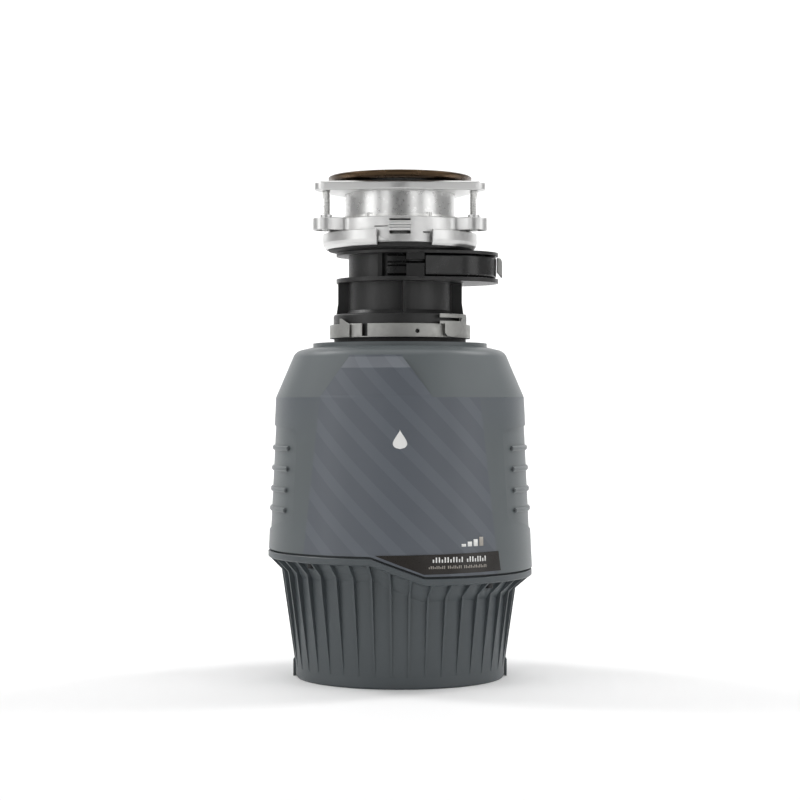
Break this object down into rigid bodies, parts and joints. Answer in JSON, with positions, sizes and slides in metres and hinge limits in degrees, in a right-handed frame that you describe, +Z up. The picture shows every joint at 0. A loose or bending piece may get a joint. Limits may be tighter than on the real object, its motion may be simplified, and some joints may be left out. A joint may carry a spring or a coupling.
{
  "type": "kitchen garbage disposal",
  "caption": "Under-sink food-waste disposer: ribbed two-piece sound shell, lock-ring throat with cover sensor, three-screw sink mount, and inside it the grinding turntable and motor.",
  "frame": {"origin": "centre of the wrench access hole, in the plane of the base's underside", "axes": "+Z up along the motor and throat axis, -Y the front with the nameplate, +X towards the cover sensor"},
  "size_m": [0.2105, 0.2275, 0.3982],
  "materials": {
    "base_plate": "painted steel",
    "bearing_steel": "ground steel",
    "button_red": "red plastic",
    "cast_alloy": "die-cast aluminium",
    "chamber_plastic": "glass-filled plastic",
    "copper_wire": "enamelled copper",
    "cover_black": "black plastic",
    "fan_plastic": "black plastic",
    "flange_bronze": "polished dark bronze",
    "foam": "sound-deadening liner",
    "ground_green": "green screw",
    "label_dark": "dark printed foil",
    "lamination": "laminated steel",
    "latch_grey": "light grey plastic",
    "magnet": "nickel-plated magnet",
    "outlet_plastic": "black plastic tube",
    "relay_plastic": "phenolic",
    "rubber_black": "black rubber",
    "screw_steel": "zinc-plated screw",
    "sensor_black": "gloss black",
    "shell_dark": "satin moulded plastic, darker slate grey",
    "shell_grey": "satin moulded plastic, slate grey",
    "stainless": "stainless steel",
    "steel_band": "rolled steel",
    "throat_black": "black moulded plastic",
    "zinc_bright": "bright zinc plating"
  },
  "bodies": {
    "housing": {"backup_ring": "zinc_bright", "base_clips": "shell_dark", "base_screws": "screw_steel", "bottom_cover": "base_plate", "chamber_bolts": "screw_steel", "chamber_gasket": "rubber_black", "discharge_tube": "outlet_plastic", "dishwasher_inlet": "outlet_plastic", "front_label": "label_dark", "grind_chamber": "chamber_plastic", "ground_screw": "ground_green", "inlet_plug": "outlet_plastic", "lower_bearing": "bearing_steel", "lower_end_frame": "cast_alloy", "lower_shell": "shell_dark", "motor_bolts": "screw_steel", "mount_cushion": "rubber_black", "mounting_screws": "screw_steel", "outlet_bolts": "screw_steel", "outlet_flange": "stainless", "outlet_gasket": "rubber_black", "overload_protector": "relay_plastic", "sensor_housing": "sensor_black", "sensor_latch": "latch_grey", "shaft_seal": "rubber_black", "shell_screws": "screw_steel", "shredder_ring": "stainless", "sink_flange": "flange_bronze", "sink_gasket": "rubber_black", "snap_ring": "screw_steel", "sound_liner": "foam", "start_relay": "relay_plastic", "stator_core": "lamination", "stator_windings": "copper_wire", "terminal_cover": "base_plate", "terminal_screws": "screw_steel", "throat_gasket": "rubber_black", "throat_housing": "throat_black", "thrust_washer": "bearing_steel", "upper_bearing": "bearing_steel", "upper_end_bell": "cast_alloy", "upper_mounting_ring": "zinc_bright", "upper_shell": "shell_grey"},
    "rotor": {"motor_shaft": "bearing_steel", "rotor_core": "lamination", "rotor_end_rings": "cast_alloy", "cooling_fan": "fan_plastic", "turntable": "stainless", "turntable_nut": "stainless", "lug_pins": "stainless"},
    "lug_a": {"grinding_lug_a": "stainless"},
    "lug_b": {"grinding_lug_b": "stainless"},
    "button": {"reset_button": "button_red"},
    "cover_seal": {"cover_seal": "rubber_black"},
    "cover": {"cover_cap": "cover_black", "cover_body": "cover_black", "cover_magnets": "magnet"},
    "upper_lock": {"upper_lock_ring": "zinc_bright"},
    "lower_lock": {"lower_lock_ring": "steel_band"}
  },
  "joints": [
    {"name": "rotor_spin", "type": "hinge", "parent": "housing", "child": "rotor", "pos_m": [0, 0, 0.15], "axis": [0, 0, 1], "continuous": true},
    {"name": "lug_a_swing", "type": "hinge", "parent": "rotor", "child": "lug_a", "pos_m": [0.042, 0, 0.156], "axis": [0, 0, 1], "continuous": true},
    {"name": "lug_b_swing", "type": "hinge", "parent": "rotor", "child": "lug_b", "pos_m": [-0.042, 0, 0.156], "axis": [0, 0, 1], "continuous": true},
    {"name": "reset_button_press", "type": "slide", "parent": "housing", "child": "button", "axis": [0, 0, 1], "range_m": [0, 0.003], "stiffness_N_per_m": 200, "springref_m": -0.002},
    {"name": "cover_lift", "type": "slide", "parent": "housing", "child": "cover_seal", "axis": [0, 0, 1], "range_m": [0, 0.09]},
    {"name": "cover_turn", "type": "hinge", "parent": "cover_seal", "child": "cover", "pos_m": [0, 0, 0.38], "axis": [0, 0, 1], "range_deg": [0, 45]},
    {"name": "upper_lock_ring_turn", "type": "hinge", "parent": "housing", "child": "upper_lock", "pos_m": [0, 0, 0.346], "axis": [0, 0, 1], "range_deg": [0, 30]},
    {"name": "lower_lock_ring_turn", "type": "hinge", "parent": "housing", "child": "lower_lock", "pos_m": [0, 0, 0.274], "axis": [0, 0, 1], "range_deg": [0, 35]}
  ]
}
